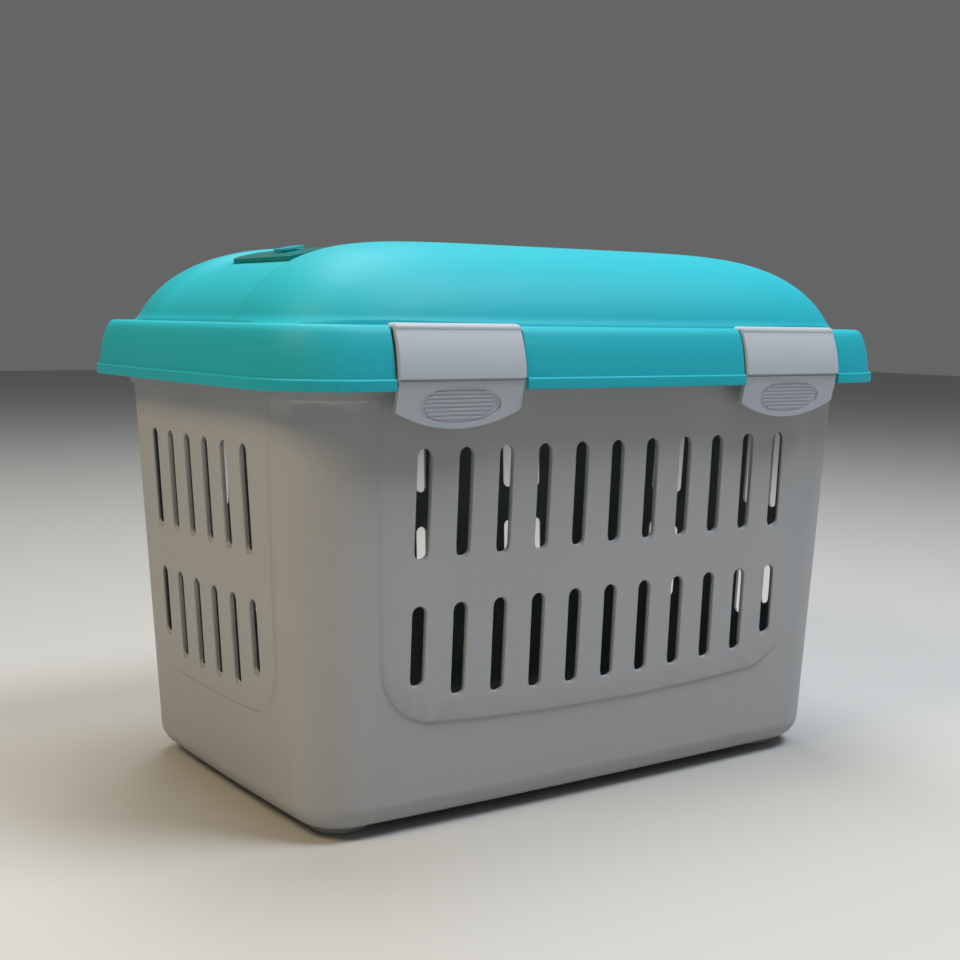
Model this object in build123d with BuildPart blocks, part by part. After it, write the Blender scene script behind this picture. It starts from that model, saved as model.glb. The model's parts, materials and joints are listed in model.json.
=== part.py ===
"""Guinea pig carrier: a slotted plastic tub with a hinged dome lid, two front
latches, a tinted hatch in the lid and a folding carry handle.

Millimetres. Z is up and zero at the bottom of the feet. X is the long way, the
latches face -Y, and the origin is under the middle of the carrier.
"""
import os
from math import atan2, cos, pi, radians, sin, sqrt, tan

from build123d import *

os.makedirs("parts", exist_ok=True)

# Walls and clearances
wall = 2.6                      # tub and lid wall
draft = 2.76                    # lean of the tub's long walls, degrees
end_draft = 3.8                 # lean of its end walls
side_bow = 2.7                  # how far each side swells at its middle
part_gap = 0.3                  # air between curved faces of different bodies
side_gap = 1.6                  # air beside each latch
running_gap = 0.05              # radial play of a turning bore on its pin

# Tub
slot_top_z = 207.0              # top of the upper row of slots
tub_half_length = 198.0         # outside, at slot_top_z, at the middle of the end
tub_half_width = 125.0
tub_corner_radius = 39.0
foot_height = 5.0
foot_diameter = 32.0
foot_from_end = 45.0            # foot centre, in from tub_half_length
foot_from_side = 43.7
foot_edge = 1.5
base_edge_radius = 15.0
collar_z = 232.0                # where the thicker band under the lid begins
collar_proud = 2.0
rim_thickness = 2.6             # rim flange under the lid's ledge
rim_gap = 0.6                   # flange to the inside of the lid's skirt

# Raised panels and slots
panel_raise = 1.5
panel_bevel = 45.0
panel_from_end = 45.1           # long panel's edge at slot_top_z, in from tub_half_length
panel_lean = 0.055              # how far the panel's sides close in for each mm down
panel_bottom_z = 56.4
panel_sag = 8.0
panel_corner = 35.0
end_panel_from_side = 39.0
end_panel_bottom_z = 60.3
end_panel_sag = 4.0
end_panel_corner = 30.0
slot_width = 8.6
end_slot_width = 7.8
slot_pitch = 25.5
end_slot_pitch = 23.8
slot_side_margin = 16.0         # panel edge to the centre of the nearest slot, at least
upper_slot_length = 58.0
slot_row_gap = 24.8
slot_edge_gap = 13.8            # lower slot end to the panel's lower edge
end_slot_edge_gap = 12.0
outer_slot_lift = 5.5           # the outermost lower slots end this much higher
end_outer_slot_lift = 9.0
slot_bevel = 0.5
slot_bevel_start = 0.2          # bevel cutters start this far outside the face
slot_scoop = 45.0               # slope of each slot's lower end, degrees
slot_land = 0.15                # straight part of a slot's lower end, inside its slope

# Lid
lid_overhang_x = 20.0           # lid's lower band beyond the tub at slot_top_z
lid_overhang_y = 21.5
lid_corner_radius = 48.0
skirt_bottom_z = 237.3
band_top_z = 243.4
ledge_top_z = 269.5
ledge_thickness = 3.2
seat_gap = 0.2                  # ledge's underside over the rim flange
dome_height = 46.3
dome_inset_x = 17.0             # dome foot, in from the lid's lower band
dome_inset_y = 15.8
dome_power_x = 6.1              # how square the dome's plan is
dome_power_y = 5.35
dome_roundness = 1.32
dome_flare = 2.0                # widening at the dome's foot
dome_flare_height = 5.0
dome_plan_points = 32
channel_half_width = 51.0
channel_depth = 4.0

# Latches
latch_from_middle = 117.3
latch_width = 75.6
latch_proud = 2.0
latch_wall = 3.0
latch_lip = 8.2                 # lip over the lid's ledge, from the plate's face
latch_corner = 2.2              # rounding from the plate into its lip
latch_round = 2.5               # upper corners, seen from the front
latch_crown = 0.2               # swelling of the plate's face at its middle
latch_lip_thickness = 2.2
latch_lip_over = 1.3            # lip's top above the ledge
tab_wall = 2.6
tab_step = 1.5                  # tab set back from the plate
tab_lean = 12.5                 # degrees
tab_side_z = 227.0
tab_bottom_z = 217.8
shadow_gap = 1.4                # groove between plate and tab
groove_depth = 0.5              # groove's floor behind the tab's face
dish_half_width = 25.0
dish_half_height = 9.6
dish_depth = 0.9
grip_rib_pitch = 2.2
grip_rib_height = 0.5
latch_pivot_z = 243.0
latch_pivot_in = 9.5            # pivot, in from the lid's lower band
latch_pin_radius = 1.8
latch_barrel_radius = 3.4
latch_barrel_width = 32.0
lug_radius = 4.0
lug_width = 5.0
lug_gap = 0.8                   # barrel to lug, along the pin
lug_root_height = 13.0

# Lid hinges
hinge_from_middle = 112.0
hinge_radius = 3.6
hinge_pin_radius = 1.75
hinge_lid_width = 12.0
hinge_lug_width = 6.0
hinge_lug_gap = 0.5
hinge_drop = 0.5                # air between the barrels and the lid's band
hinge_lug_root = 12.0

# Hatch
hatch_outer_x = 159.0           # hatch's free end, left of the middle
hatch_length = 75.0
hatch_half_width = 42.5
hatch_corner = 9.0
hatch_thickness = 2.2
hatch_overlap = 4.0             # hatch plate beyond the opening
hatch_plug_depth = 2.2
hatch_plug_wall = 1.8
hatch_plug_gap = 0.8
hatch_hinge_radius = 2.8
hatch_pin_radius = 1.2
hatch_hinge_out = 5.0           # hinge axis beyond the hatch's inner end
hatch_knuckle = 12.0            # half the barrel's length
hatch_knuckle_gap = 0.5
hatch_post = 8.0                # length of the lid's barrel at each end of it
hatch_hinge_sink = 1.0          # barrels sunk into the channel's floor

# Hatch catch
catch_from_end = 18.0           # catch centre, in from the hatch's free end
catch_length = 13.0
catch_width = 17.0
catch_height = 1.4
catch_rib_pitch = 2.6
catch_rib_depth = 0.5
catch_stem_width = 8.0
catch_stem_length = 5.0
catch_travel = 5.0
catch_tongue_thickness = 1.8
catch_tongue_over = 3.2         # tongue under the lid beyond the opening
catch_play = 0.5

# Carry handle
handle_half_length = 71.0
handle_leg_width = 8.0
handle_reach = 42.0             # pivot to the middle of the grip
handle_leg_radius = 2.9
handle_grip_radius = 3.5
handle_grip_width = 11.0
handle_outer_corner = 9.0
handle_inner_corner = 5.0
handle_lift = 0.4               # air under the folded handle
handle_pin_radius = 2.0
handle_post_width = 5.0
handle_post_gap = 0.5

# Places worked out from the sizes above
lean = tan(radians(draft))
end_lean = tan(radians(end_draft))
lid_half_length = tub_half_length + lid_overhang_x
lid_half_width = tub_half_width + lid_overhang_y
dome_half_length = lid_half_length - dome_inset_x
dome_half_width = lid_half_width - dome_inset_y
ledge_under_z = ledge_top_z - ledge_thickness
rim_z = ledge_under_z - seat_gap
lower_slot_top_z = slot_top_z - upper_slot_length - slot_row_gap

# Height of the skirt's outline against how far it lies inside the lower band
skirt_profile = [
    (band_top_z, 1.7),
    (band_top_z + 0.30 * (ledge_top_z - band_top_z), 2.6),
    (band_top_z + 0.60 * (ledge_top_z - band_top_z), 4.1),
    (ledge_top_z - 3.5, 6.4),
    (ledge_top_z - 0.9, 8.2),
    (ledge_top_z, 10.3),
]
dome_steps = (0.06, 0.13, 0.22, 0.34, 0.48, 0.62, 0.75, 0.86, 0.94, 0.985)


def skirt_inset(height):
    """How far the skirt's face lies inside the lower band at a height."""
    previous = skirt_profile[0]
    for step in skirt_profile[1:]:
        if height <= step[0]:
            share = (height - previous[0]) / (step[0] - previous[0])
            return previous[1] + share * (step[1] - previous[1])
        previous = step
    return previous[1]


def bow_at(along, half_length):
    """How far a bowed side has drawn in at a distance along from its middle."""
    return side_bow * (along / half_length) ** 2


def bowed_outline(half_length, half_width, corner_radius):
    """Rounded outline with gently swelling sides, drawn in the current sketch."""
    x = half_length - side_bow
    y = half_width - side_bow
    with BuildLine() as line:
        ThreePointArc((-x, -y), (0, -half_width), (x, -y))
        ThreePointArc((x, -y), (half_length, 0), (x, y))
        ThreePointArc((x, y), (0, half_width), (-x, y))
        ThreePointArc((-x, y), (-half_length, 0), (-x, -y))
    face = make_face(line.edges())
    fillet(face.vertices(), corner_radius)


def tub_form(outset, bottom_z, top_z, edge_radius=0.0):
    """The tub's drafted shape, grown by outset, between two heights."""
    with BuildPart() as form:
        for height in (bottom_z, top_z):
            end_grow = outset + (height - slot_top_z) * end_lean
            grow = outset + (height - slot_top_z) * lean
            with BuildSketch(Plane.XY.offset(height)):
                bowed_outline(tub_half_length + end_grow, tub_half_width + grow, tub_corner_radius + grow)
        loft(ruled=True)
        if edge_radius > 0:
            fillet(form.faces().sort_by(Axis.Z)[0].edges(), edge_radius)
    return form.part


def wall_plane(along, side, end_wall, outset=0.0):
    """Plane on the outside of a tub wall: its X runs along the wall, its Y up it."""
    if end_wall:
        reach = tub_half_length + outset - bow_at(along, tub_half_width)
        return Plane((side * reach, along, slot_top_z), (0, side, 0),
                     (side * cos(radians(end_draft)), 0, -sin(radians(end_draft))))
    reach = tub_half_width + outset - bow_at(along, tub_half_length)
    return Plane((along, side * reach, slot_top_z), (-side, 0, 0),
                 (0, side * cos(radians(draft)), -sin(radians(draft))))


def panel_prism(side, end_wall, grow, start, amount, taper):
    """Block in the outline of one raised panel, standing across the tub's wall."""
    if end_wall:
        half = tub_half_width - end_panel_from_side + grow
        bottom_z, sag, corner = end_panel_bottom_z, end_panel_sag, end_panel_corner
    else:
        half = tub_half_length - panel_from_end + grow
        bottom_z, sag, corner = panel_bottom_z, panel_sag, panel_corner
    top = collar_z + 2 * collar_proud - slot_top_z
    low = (bottom_z + sag - slot_top_z) - grow
    low_half = half + low * panel_lean
    top_half = half + top * panel_lean
    with BuildPart() as prism:
        with BuildSketch(wall_plane(0, side, end_wall, start)) as panel:
            with BuildLine():
                Line((-top_half, top), (top_half, top))
                Line((top_half, top), (low_half, low))
                ThreePointArc((low_half, low), (0, low - sag), (-low_half, low))
                Line((-low_half, low), (-top_half, top))
            make_face()
            fillet(panel.vertices().group_by(Axis.Y)[0], corner + grow)
        extrude(amount=amount, taper=taper)
    return prism.part


def slot_cutter(width, length):
    """Cutter for one slot: long way along its Y, the wall's outer face at its Z zero."""
    through = wall + panel_raise + 4
    lip = slot_bevel_start
    with BuildPart() as cutter:
        with BuildSketch(Plane.XY.offset(-through)):
            SlotOverall(length, width, rotation=90)
        extrude(amount=through + lip)
        with BuildSketch(Plane((0, 0, lip), (1, 0, 0), (0, 0, -1))):
            SlotOverall(length + 2 * (slot_bevel + lip), width + 2 * (slot_bevel + lip), rotation=90)
        extrude(amount=slot_bevel + lip, taper=45)
        # The slope starts just outside the wall's inner face
        rise = width / 2 * (1 / cos(radians(slot_scoop)) - 1) + slot_land
        low_centre = (0, rise - (length - width) / 2, -wall)
        downhill = (0, -sin(radians(slot_scoop)), cos(radians(slot_scoop)))
        with BuildSketch(Plane(low_centre, (1, 0, 0), downhill)):
            Circle(width / 2)
        extrude(amount=wall / cos(radians(slot_scoop)) + width / 3)
    return cutter.part


def slot_centres(half, pitch, odd):
    """Places of the slots along a wall, as many as the panel has room for."""
    if odd:
        count = int((half - slot_side_margin) / pitch)
        return [i * pitch for i in range(-count, count + 1)]
    count = int((half - slot_side_margin) / pitch + 0.5)
    return [(i + 0.5) * pitch for i in range(-count, count)]


def slot_cutters(end_wall):
    """All the cutters of one pair of opposite walls."""
    if end_wall:
        half = tub_half_width - end_panel_from_side
        width, pitch, gap, lift = end_slot_width, end_slot_pitch, end_slot_edge_gap, end_outer_slot_lift
        bottom_z, sag, wall_draft = end_panel_bottom_z, end_panel_sag, end_draft
    else:
        half = tub_half_length - panel_from_end
        width, pitch, gap, lift = slot_width, slot_pitch, slot_edge_gap, outer_slot_lift
        bottom_z, sag, wall_draft = panel_bottom_z, panel_sag, draft
    centres = slot_centres(half, pitch, odd=not end_wall)
    tools = []
    for along in centres:
        lower_end = bottom_z + sag * (along / half) ** 2 + gap
        if abs(along) > max(centres) - 1:
            lower_end += lift
        for top, bottom in ((slot_top_z, slot_top_z - upper_slot_length), (lower_slot_top_z, lower_end)):
            cutter = slot_cutter(width, top - bottom)
            middle = ((top + bottom) / 2 - slot_top_z) / cos(radians(wall_draft))
            for side in (-1, 1):
                face = wall_plane(along, side, end_wall, panel_raise)
                tools.append(cutter.moved(face.location * Location((0, middle, 0))))
    return tools


def lid_outline(inset):
    """Outline of the lid, drawn in from its lower band, in the current sketch."""
    bowed_outline(lid_half_length - inset, lid_half_width - inset, lid_corner_radius - inset)


def skirt_form(inset, drop):
    """Solid inside the skirt's face, shrunk by inset and with its top lowered by drop."""
    with BuildPart() as band:
        with BuildSketch(Plane.XY.offset(skirt_bottom_z - drop)):
            lid_outline(inset)
        extrude(amount=band_top_z - skirt_bottom_z + drop)
    with BuildPart() as upper:
        for height, step in skirt_profile:
            share = (height - band_top_z) / (ledge_top_z - band_top_z)
            with BuildSketch(Plane.XY.offset(height - drop * share)):
                lid_outline(inset + step)
        loft()
    return band.part + upper.part


def dome_outline(half_length, half_width, level):
    """Rounded-square outline of the dome where its height function has this level."""
    reach_x = half_length * level ** (1 / dome_power_x)
    reach_y = half_width * level ** (1 / dome_power_y)
    quarter = []
    for i in range(dome_plan_points // 4):
        turn = pi / 2 * (i + 0.5) / (dome_plan_points // 4)
        x = min(1.0, cos(turn) / sin(turn))
        y = min(1.0, sin(turn) / cos(turn))
        x, y = sin(pi / 2 * x), sin(pi / 2 * y)
        # Drawn in from the square's border until the height function is at its level
        for step in range(20):
            size = (x ** dome_power_x + y ** dome_power_y) ** (2 / (dome_power_x + dome_power_y))
            x, y = x / size, y / size
        quarter.append((reach_x * x, reach_y * y))
    points = quarter + [(-x, y) for x, y in reversed(quarter)]
    points += [(-x, -y) for x, y in points]
    with BuildLine() as line:
        Spline(*points, periodic=True)
    make_face(line.edges())


def dome_form(inset, foot_z, flare=0.0):
    """Solid dome, shrunk all round by inset, standing on foot_z."""
    half_length = dome_half_length - inset
    half_width = dome_half_width - inset
    rise = dome_height - inset
    with BuildPart() as foot:
        with BuildSketch(Plane.XY.offset(foot_z)):
            dome_outline(half_length + flare, half_width + flare, 1.0)
        extrude(amount=ledge_top_z - foot_z)
    with BuildPart() as upper:
        with BuildSketch(Plane.XY.offset(ledge_top_z)):
            dome_outline(half_length + flare, half_width + flare, 1.0)
        for step in dome_steps:
            height = step * rise
            spread = flare * max(0.0, 1 - height / dome_flare_height) ** 2
            with BuildSketch(Plane.XY.offset(ledge_top_z + height)):
                dome_outline(half_length + spread, half_width + spread, 1 - step ** dome_roundness)
        loft()
    return foot.part + upper.part


def channel_z(x, outset=0.0):
    """Height of the channel's floor along its middle, raised by outset."""
    inset = channel_depth - outset
    level = 1 - (abs(x) / (dome_half_length - inset)) ** dome_power_x
    return ledge_top_z + (dome_height - inset) * level ** (1 / dome_roundness)


def channel_block(half_width):
    """Long block along X over the middle of the lid."""
    with BuildPart() as block:
        with BuildSketch(Plane.XY.offset(ledge_top_z - 2 * wall)):
            Rectangle(3 * lid_half_length, 2 * half_width)
        extrude(amount=2 * dome_height)
    return block.part


# Tub
tub_base_z = foot_height
rim_under_z = rim_z - rim_thickness
rim_rise = rim_z - slot_top_z
rim_room = min(lid_overhang_x - rim_rise * end_lean, lid_overhang_y - rim_rise * lean)
rim_reach = rim_room - skirt_profile[-1][1] - wall - rim_gap
tub_outside = tub_form(0, tub_base_z, rim_z, base_edge_radius)
tub_inside = tub_form(-wall, tub_base_z + wall, rim_z + 5, base_edge_radius - wall)
panel_skin = tub_form(panel_raise, tub_base_z + base_edge_radius, rim_z)
panel_hollow = tub_form(panel_raise - wall, tub_base_z + base_edge_radius, rim_z)
panels = []
hollows = []
for end_wall in (False, True):
    for side in (-1, 1):
        block = panel_prism(side, end_wall, wall, -wall, 3 * wall, panel_bevel)
        panels.append(panel_skin & block)
        block = panel_prism(side, end_wall, -wall, -3 * wall, 4 * wall, 0)
        hollows.append(panel_hollow & block)
collar = tub_form(collar_proud, collar_z, rim_z)
rim_flange = tub_form(rim_reach, rim_under_z, rim_z)

latch_pivot_y = -(lid_half_width - latch_pivot_in)
hinge_y = lid_half_width - hinge_radius
hinge_z = skirt_bottom_z - hinge_drop - hinge_radius
wall_y = tub_half_width - wall / 2

with BuildPart() as tub:
    add(tub_outside)
    add(panels)
    add(collar)
    add(rim_flange)
    with Locations(*[(sx * (tub_half_length - foot_from_end), sy * (tub_half_width - foot_from_side), 0)
                     for sx in (-1, 1) for sy in (-1, 1)]):
        Cylinder(foot_diameter / 2, tub_base_z + wall / 2, align=(Align.CENTER, Align.CENTER, Align.MIN))
    fillet(tub.edges().group_by(Axis.Z)[0], foot_edge)
    # Lugs that carry the latch pins
    for latch_x in (-latch_from_middle, latch_from_middle):
        for side in (-1, 1):
            lug_x = latch_x + side * (latch_barrel_width / 2 + lug_gap + lug_width / 2)
            with BuildSketch(Plane.YZ.offset(lug_x - lug_width / 2)):
                with Locations((latch_pivot_y, latch_pivot_z)):
                    Circle(lug_radius)
                with BuildLine():
                    Polyline((latch_pivot_y, latch_pivot_z - lug_radius),
                             (latch_pivot_y, latch_pivot_z + lug_radius),
                             (-wall_y, latch_pivot_z + lug_root_height),
                             (-wall_y, latch_pivot_z - lug_radius), close=True)
                make_face()
            extrude(amount=lug_width)
    # Lugs that carry the lid's hinge pins
    for hinge_x in (-hinge_from_middle, hinge_from_middle):
        for side in (-1, 1):
            lug_x = hinge_x + side * (hinge_lid_width / 2 + hinge_lug_gap + hinge_lug_width / 2)
            with BuildSketch(Plane.YZ.offset(lug_x - hinge_lug_width / 2)):
                with Locations((hinge_y, hinge_z)):
                    Circle(hinge_radius)
                with BuildLine():
                    Polyline((hinge_y, hinge_z - hinge_radius), (hinge_y, hinge_z + hinge_radius),
                             (wall_y, hinge_z + hinge_radius),
                             (wall_y, hinge_z - hinge_radius - hinge_lug_root), close=True)
                make_face()
            extrude(amount=hinge_lug_width)
    add(tub_inside, mode=Mode.SUBTRACT)
    add(hollows, mode=Mode.SUBTRACT)
    add(slot_cutters(False) + slot_cutters(True), mode=Mode.SUBTRACT)
    for latch_x in (-latch_from_middle, latch_from_middle):
        with Locations(Plane.YZ.offset(latch_x) * Location((latch_pivot_y, latch_pivot_z, 0))):
            Cylinder(latch_pin_radius, latch_width, mode=Mode.SUBTRACT)
    for hinge_x in (-hinge_from_middle, hinge_from_middle):
        with Locations(Plane.YZ.offset(hinge_x) * Location((hinge_y, hinge_z, 0))):
            Cylinder(hinge_pin_radius, 4 * hinge_lid_width, mode=Mode.SUBTRACT)
tub.part.label = "tub"
export_step(tub.part, "parts/tub.step")

# Lid
latch_bow = bow_at(latch_from_middle, lid_half_length)
hinge_bow = bow_at(hinge_from_middle, lid_half_length)


def plate_reach(height):
    """Distance of a latch plate's face from the middle of the carrier."""
    return lid_half_width - latch_bow - skirt_inset(height) + latch_proud


def rounded_block(low_x, high_x, half_width, corner, low_z, high_z):
    """Upright block with rounded corners, centred across the carrier."""
    with BuildPart() as block:
        with BuildSketch(Plane.XY.offset(low_z)):
            with Locations(((low_x + high_x) / 2, 0)):
                RectangleRounded(high_x - low_x, 2 * half_width, corner)
        extrude(amount=high_z - low_z)
    return block.part


lip_top_z = ledge_top_z + latch_lip_over
lip_under_z = lip_top_z - latch_lip_thickness
lip_end = plate_reach(ledge_top_z - latch_corner) - latch_lip
ledge_edge = plate_reach(ledge_top_z - latch_corner) - latch_wall - 2 * part_gap
dome_top_z = ledge_top_z + dome_height
hatch_inner_x = -(hatch_outer_x - hatch_length)
hatch_hinge_x = hatch_inner_x + hatch_hinge_out
hatch_hinge_z = channel_z(hatch_hinge_x) + hatch_hinge_radius - hatch_hinge_sink
opening_low_x = -(hatch_outer_x - hatch_overlap)
opening_high_x = hatch_inner_x - hatch_overlap
opening_half_width = hatch_half_width - hatch_overlap
handle_leg_x = handle_half_length - handle_leg_width / 2
handle_post_x = handle_half_length - handle_leg_width - handle_post_gap - handle_post_width / 2
handle_pivot_z = channel_z(handle_leg_x) + handle_lift + handle_leg_radius
handle_grip_z = channel_z(0) + handle_lift + handle_grip_radius

dome_outside = dome_form(0, ledge_under_z, dome_flare)
channel_outside = dome_form(channel_depth, ledge_under_z, dome_flare)
dome_inside = dome_form(wall, ledge_under_z - wall)
channel_inside = dome_form(wall + channel_depth, ledge_under_z - wall)
lid_hollow = (dome_inside - channel_block(channel_half_width + wall)) + channel_inside

with BuildPart() as lid_shell:
    add(dome_outside)
    add(channel_block(channel_half_width), mode=Mode.SUBTRACT)
    add(channel_outside)
    add(skirt_form(0, 0))
    add(lid_hollow, mode=Mode.SUBTRACT)
    add(skirt_form(wall, ledge_thickness), mode=Mode.SUBTRACT)
    # Notches and ledge pockets for the latches
    for latch_x in (-latch_from_middle, latch_from_middle):
        half = latch_width / 2 + side_gap
        notch_in = lid_half_width - skirt_inset(ledge_top_z) - wall
        for low_z, high_z, inner in ((skirt_bottom_z - wall, ledge_under_z, notch_in),
                                     (ledge_under_z - wall, lip_top_z, ledge_edge),
                                     (lip_under_z - part_gap, lip_top_z, lip_end - part_gap)):
            with BuildSketch(Plane.XY.offset(low_z)):
                with Locations((latch_x, -(inner + lid_half_width + wall) / 2)):
                    Rectangle(2 * half, lid_half_width + wall - inner)
            extrude(amount=high_z - low_z, mode=Mode.SUBTRACT)
    # Barrels for the rear hinges
    for hinge_x in (-hinge_from_middle, hinge_from_middle):
        band_face = lid_half_width - hinge_bow
        with BuildSketch(Plane.YZ.offset(hinge_x - hinge_lid_width / 2)):
            with Locations((hinge_y, hinge_z)):
                Circle(hinge_radius)
            with BuildLine():
                Polyline((hinge_y - hinge_radius, hinge_z), (hinge_y + hinge_radius, hinge_z),
                         (band_face, band_top_z), (band_face - 1.5 * wall, band_top_z), close=True)
            make_face()
            with Locations((hinge_y, hinge_z)):
                Circle(hinge_pin_radius + running_gap, mode=Mode.SUBTRACT)
        extrude(amount=hinge_lid_width)
    # Hatch opening and the pocket under the hatch's barrel
    add(rounded_block(opening_low_x, opening_high_x, opening_half_width, hatch_corner - hatch_overlap,
                      ledge_top_z + wall, dome_top_z + wall), mode=Mode.SUBTRACT)
    pocket_end = hatch_hinge_x + hatch_hinge_radius + part_gap
    with BuildSketch(Plane.XY.offset(hatch_hinge_z - hatch_hinge_radius - part_gap)):
        with Locations(((opening_high_x + pocket_end) / 2, 0)):
            Rectangle(pocket_end - opening_high_x, 2 * (hatch_knuckle + hatch_knuckle_gap))
    extrude(amount=2 * hatch_hinge_radius, mode=Mode.SUBTRACT)
    # Posts for the hatch's hinge pin and for the handle's pivots
    for side in (-1, 1):
        with BuildSketch(Plane.XZ.offset(side * (hatch_knuckle + hatch_knuckle_gap))):
            with Locations((hatch_hinge_x, hatch_hinge_z)):
                Circle(hatch_hinge_radius)
            with Locations((hatch_hinge_x, hatch_hinge_z - hatch_hinge_radius / 2)):
                Rectangle(2 * hatch_hinge_radius, hatch_hinge_radius + wall / 2)
            with Locations((hatch_hinge_x, hatch_hinge_z)):
                Circle(hatch_pin_radius, mode=Mode.SUBTRACT)
        extrude(amount=side * hatch_post)
        with BuildSketch(Plane.YZ.offset(side * handle_post_x)):
            with Locations((0, handle_pivot_z)):
                Circle(handle_leg_radius)
            with Locations((0, handle_pivot_z - handle_leg_radius / 2)):
                Rectangle(2 * handle_leg_radius, handle_leg_radius + wall)
            with Locations((0, handle_pivot_z)):
                Circle(handle_pin_radius, mode=Mode.SUBTRACT)
        extrude(amount=handle_post_width / 2, both=True)
lid_shell.part.label = "lid_shell"
export_step(lid_shell.part, "parts/lid_shell.step")

# Latches
tab_reach = plate_reach(band_top_z) - tab_step
tab_top_z = band_top_z - shadow_gap
tab_shift = (tab_top_z - tab_bottom_z) * tan(radians(tab_lean))
dish_z = (tab_top_z + tab_bottom_z) / 2
for name, latch_x in (("latch_left", -latch_from_middle), ("latch_right", latch_from_middle)):
    with BuildPart() as latch:
        # Plate with its lip over the ledge, drawn from the side
        corner_z = ledge_top_z - latch_corner
        middle_z = (band_top_z + corner_z) / 2
        face_low = plate_reach(band_top_z)
        face_high = plate_reach(corner_z)
        face_middle = plate_reach(middle_z) + latch_crown
        with BuildSketch(Plane.YZ.offset(latch_x - latch_width / 2)):
            with BuildLine():
                ThreePointArc((-face_low, band_top_z), (-face_middle, middle_z), (-face_high, corner_z))
                ThreePointArc((-face_high, corner_z),
                              (latch_corner * 0.35 - face_high, lip_top_z - latch_corner * 0.35),
                              (latch_corner * 1.2 - face_high, lip_top_z))
                Polyline((latch_corner * 1.2 - face_high, lip_top_z), (-lip_end, lip_top_z),
                         (-lip_end, lip_under_z), (latch_wall - face_high, lip_under_z))
                ThreePointArc((latch_wall - face_high, lip_under_z), (latch_wall - face_middle, middle_z),
                              (latch_wall - face_low, band_top_z))
                Line((latch_wall - face_low, band_top_z), (-face_low, band_top_z))
            make_face()
        extrude(amount=latch_width)
        # Thumb tab, leaning in towards the tub
        with BuildSketch(Plane.YZ.offset(latch_x - latch_width / 2)):
            with BuildLine():
                Polyline((-tab_reach, tab_top_z), (tab_shift - tab_reach, tab_bottom_z),
                         (tab_shift - tab_reach + tab_wall, tab_bottom_z),
                         (tab_wall - tab_reach, tab_top_z),
                         (latch_wall - face_low, band_top_z + shadow_gap),
                         (groove_depth - tab_reach, band_top_z + shadow_gap),
                         (groove_depth - tab_reach, tab_top_z), close=True)
            make_face()
        extrude(amount=latch_width)
        with BuildSketch(Plane.XZ.offset(lid_half_width + wall)) as outline:
            with BuildLine():
                Line((latch_x - latch_width / 2, lip_top_z), (latch_x + latch_width / 2, lip_top_z))
                Line((latch_x + latch_width / 2, lip_top_z), (latch_x + latch_width / 2, tab_side_z))
                ThreePointArc((latch_x + latch_width / 2, tab_side_z), (latch_x, tab_bottom_z),
                              (latch_x - latch_width / 2, tab_side_z))
                Line((latch_x - latch_width / 2, tab_side_z), (latch_x - latch_width / 2, lip_top_z))
            make_face()
            fillet(outline.vertices().group_by(Axis.Y)[-1], latch_round)
        extrude(amount=-lid_half_width, mode=Mode.INTERSECT)
        # Ribbed dish for the thumb
        tab_face = Plane((latch_x, tab_shift / 2 - tab_reach, dish_z), (1, 0, 0),
                         (0, -cos(radians(tab_lean)), -sin(radians(tab_lean))))
        with BuildSketch(tab_face):
            Ellipse(dish_half_width, dish_half_height)
        extrude(amount=-dish_depth, mode=Mode.SUBTRACT)
        rib_count = int(0.8 * dish_half_height / grip_rib_pitch)
        with BuildSketch(tab_face.offset(-dish_depth)):
            for i in range(-rib_count, rib_count + 1):
                rib_y = i * grip_rib_pitch
                rib_length = 1.7 * dish_half_width * sqrt(1 - (rib_y / dish_half_height) ** 2)
                with Locations((0, rib_y)):
                    SlotOverall(rib_length, grip_rib_pitch / 2.5)
        extrude(amount=grip_rib_height)
        # Barrel and web behind the plate
        with BuildSketch(Plane.YZ.offset(latch_x - latch_barrel_width / 2)):
            with Locations((latch_pivot_y, latch_pivot_z)):
                Circle(latch_barrel_radius)
            with BuildLine():
                Polyline((latch_pivot_y, latch_pivot_z - latch_barrel_radius),
                         (latch_pivot_y, latch_pivot_z + latch_barrel_radius),
                         (latch_wall / 2 - face_low, latch_pivot_z + latch_barrel_radius),
                         (tab_wall / 2 - tab_reach, latch_pivot_z - latch_barrel_radius), close=True)
            make_face()
            with Locations((latch_pivot_y, latch_pivot_z)):
                Circle(latch_pin_radius + running_gap, mode=Mode.SUBTRACT)
        extrude(amount=latch_barrel_width)
    latch.part.label = name
    export_step(latch.part, f"parts/{name}.step")

# Pins of the latches and of the lid's hinges, fixed in the tub's lugs
latch_pin_length = latch_barrel_width + 2 * (lug_gap + lug_width)
hinge_pin_length = hinge_lid_width + 2 * (hinge_lug_gap + hinge_lug_width)
for name, place, radius, length in (
        ("latch_pin_left", (-latch_from_middle, latch_pivot_y, latch_pivot_z),
         latch_pin_radius, latch_pin_length),
        ("latch_pin_right", (latch_from_middle, latch_pivot_y, latch_pivot_z),
         latch_pin_radius, latch_pin_length),
        ("hinge_pin_left", (-hinge_from_middle, hinge_y, hinge_z), hinge_pin_radius, hinge_pin_length),
        ("hinge_pin_right", (hinge_from_middle, hinge_y, hinge_z), hinge_pin_radius, hinge_pin_length)):
    with BuildPart() as pin:
        with BuildSketch(Plane(place, (0, 1, 0), (1, 0, 0))):
            Circle(radius)
        extrude(amount=length / 2, both=True)
        chamfer(pin.edges(), radius / 5)
    pin.part.label = name
    export_step(pin.part, f"parts/{name}.step")

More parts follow.
